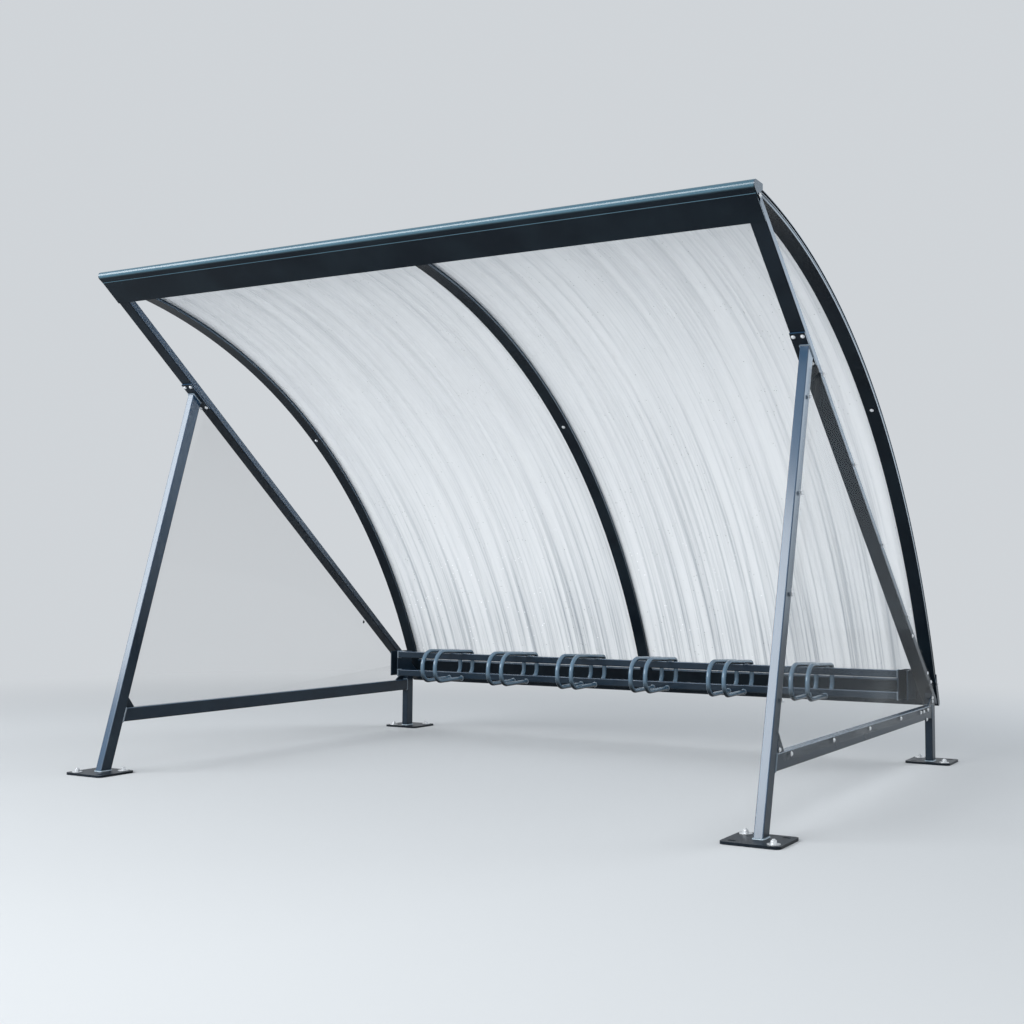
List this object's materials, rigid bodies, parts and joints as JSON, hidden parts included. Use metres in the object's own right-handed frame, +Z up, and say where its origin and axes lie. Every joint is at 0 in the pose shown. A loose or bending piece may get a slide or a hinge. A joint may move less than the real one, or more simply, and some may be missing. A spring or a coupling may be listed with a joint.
{
  "type": "bike shelter",
  "caption": "Lean-to bicycle shelter: leaning posts and slanted beams, arched clear roof, clear side panels, and a low rack of wheel hoops.",
  "frame": {"origin": "on the ground, at the middle of the footprint of the base plates", "axes": "+X along the shelter, +Y from the open front to the rear, +Z up"},
  "size_m": [3.235, 2.636, 2.2176],
  "materials": {
    "powder_coat": "anthracite powder coat, semi-gloss",
    "roof_profile": "anthracite powder coated aluminium, semi-gloss",
    "roof_sheet": "clear multiwall polycarbonate, fluted along the arch",
    "side_panel": "clear solid polycarbonate, glossy"
  },
  "bodies": {
    "root": {"arch_left": "roof_profile", "arch_middle": "roof_profile", "arch_right": "roof_profile", "base_plate_front_left": "powder_coat", "base_plate_front_right": "powder_coat", "base_plate_rear_left": "powder_coat", "base_plate_rear_right": "powder_coat", "beam_left": "powder_coat", "beam_right": "powder_coat", "bottom_bar_left": "powder_coat", "bottom_bar_right": "powder_coat", "cap_strip_left": "roof_profile", "cap_strip_middle": "roof_profile", "cap_strip_right": "roof_profile", "front_rail": "roof_profile", "front_rail_cap_left": "powder_coat", "front_rail_cap_right": "powder_coat", "gusset_front_left": "powder_coat", "gusset_front_right": "powder_coat", "gusset_rear_left": "powder_coat", "gusset_rear_right": "powder_coat", "post_flange_left": "powder_coat", "post_flange_right": "powder_coat", "post_left": "powder_coat", "post_right": "powder_coat", "rack_bracket_left": "powder_coat", "rack_bracket_right": "powder_coat", "rack_rail_lower": "powder_coat", "rack_rail_upper": "powder_coat", "rear_rail": "roof_profile", "rear_rail_cap_left": "powder_coat", "rear_rail_cap_right": "powder_coat", "rear_stub_left": "powder_coat", "rear_stub_right": "powder_coat", "roof_sheet_left": "roof_sheet", "roof_sheet_right": "roof_sheet", "side_panel_left": "side_panel", "side_panel_right": "side_panel", "wheel_hoops_1": "powder_coat", "wheel_hoops_2": "powder_coat", "wheel_hoops_3": "powder_coat", "wheel_hoops_4": "powder_coat", "wheel_hoops_5": "powder_coat", "wheel_hoops_6": "powder_coat"}
  },
  "joints": []
}
